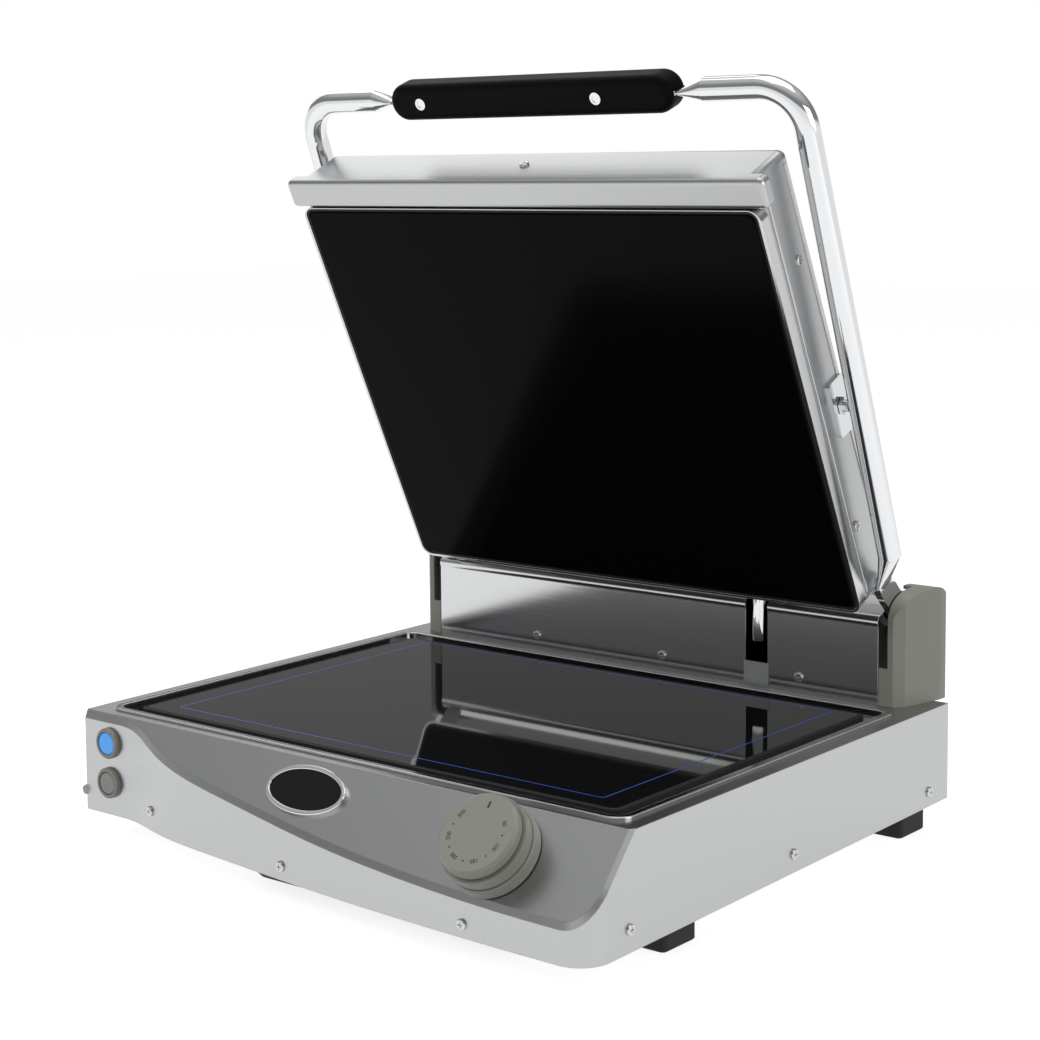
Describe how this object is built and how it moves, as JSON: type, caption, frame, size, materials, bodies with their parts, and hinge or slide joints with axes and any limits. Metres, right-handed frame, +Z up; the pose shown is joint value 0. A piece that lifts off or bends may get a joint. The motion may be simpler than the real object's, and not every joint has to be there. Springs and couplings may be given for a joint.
{
  "type": "contact grill",
  "caption": "Countertop contact grill with a black glass cooking surface, a hinged glass-faced lid on two lifting arms with a handle, a thermostat knob and push buttons.",
  "frame": {"origin": "middle of the whole at the level of the feet", "axes": "+Z up, -Y towards the user, +X to the right of someone facing the grill"},
  "size_m": [0.4552, 0.4394, 0.5101],
  "materials": {
    "badge_black": "gloss",
    "badge_chrome": "polished",
    "bezel_plastic": "satin",
    "black_plastic": "matt",
    "black_rubber": "matt",
    "bush_brass": "plain",
    "button_blue": "lit blue",
    "button_grey": "satin",
    "chrome": "mirror",
    "cover_plastic": "satin",
    "element": "matt",
    "foot_rubber": "matt",
    "grip_black": "satin",
    "housing_steel": "polished",
    "inner_plastic": "matt",
    "insulation": "matt",
    "knob_plastic": "satin",
    "lid_frame_steel": "polished",
    "lid_glass": "glossy black glass ceramic",
    "lid_rail_steel": "satin",
    "lid_shell_steel": "satin",
    "lower_glass": "glossy black glass ceramic",
    "plain_steel": "matt",
    "screw_steel": "polished",
    "shell_steel": "satin",
    "step_steel": "satin",
    "surround_steel": "polished"
  },
  "bodies": {
    "base": {"badge_field": "badge_black", "badge_rim": "badge_chrome", "base_shell": "shell_steel", "bezel_lower": "bezel_plastic", "bezel_upper": "bezel_plastic", "bottom_plate": "plain_steel", "cable_inlet": "inner_plastic", "floor_pan": "black_plastic", "foot_front_left": "foot_rubber", "foot_front_right": "foot_rubber", "foot_rear_left": "foot_rubber", "foot_rear_right": "foot_rubber", "front_screws": "screw_steel", "glass_seal": "black_rubber", "heater_tray": "plain_steel", "hinge_bracket_left": "plain_steel", "hinge_bracket_right": "plain_steel", "hinge_bush_left": "bush_brass", "hinge_bush_right": "bush_brass", "hinge_cover_left": "cover_plastic", "hinge_cover_right": "cover_plastic", "lower_element": "element", "lower_glass": "lower_glass", "lower_insulation": "insulation", "rear_housing": "housing_steel", "side_screws_left": "screw_steel", "side_screws_right": "screw_steel", "slot_step": "step_steel", "splash_screws": "screw_steel", "surround": "surround_steel", "switch_lower": "inner_plastic", "switch_upper": "inner_plastic", "thermostat": "inner_plastic"},
    "arms": {"arm_left": "chrome", "arm_right": "chrome", "grip": "grip_black", "grip_screw_left": "screw_steel", "grip_screw_right": "screw_steel", "hinge_stub_left": "chrome", "hinge_stub_right": "chrome", "pivot_stud_left": "chrome", "pivot_stud_right": "chrome"},
    "lid": {"conduit": "chrome", "conduit_nut": "chrome", "lid_element": "element", "lid_frame": "lid_frame_steel", "lid_glass": "lid_glass", "lid_insulation": "insulation", "lid_rail": "lid_rail_steel", "lid_screws": "screw_steel", "lid_seal": "black_rubber", "lid_shell": "lid_shell_steel", "lid_tray": "plain_steel", "pivot_plate_left": "plain_steel", "pivot_plate_right": "plain_steel"},
    "knob": {"knob": "knob_plastic", "knob_shaft": "plain_steel"},
    "upper_button": {"button_upper": "button_blue"},
    "lower_button": {"button_lower": "button_grey"}
  },
  "joints": [
    {"name": "lid_lift", "type": "hinge", "parent": "base", "child": "arms", "pos_m": [0, 0.19974, 0.136], "axis": [-1, 0, 0], "range_deg": [-64.4, 3]},
    {"name": "lid_level", "type": "hinge", "parent": "arms", "child": "lid", "pos_m": [0, 0.1177, 0.29326], "axis": [-1, 0, 0], "range_deg": [-1.5, 1.5]},
    {"name": "knob_turn", "type": "hinge", "parent": "base", "child": "knob", "pos_m": [0.147, -0.18526, 0.06267], "axis": [0, -0.7433, 0.669], "range_deg": [-280, 0]},
    {"name": "upper_press", "type": "slide", "parent": "base", "child": "upper_button", "axis": [0, 1, 0], "range_m": [0, 0.0025], "stiffness_N_per_m": 800},
    {"name": "lower_press", "type": "slide", "parent": "base", "child": "lower_button", "axis": [0, 1, 0], "range_m": [0, 0.0025], "stiffness_N_per_m": 800}
  ]
}
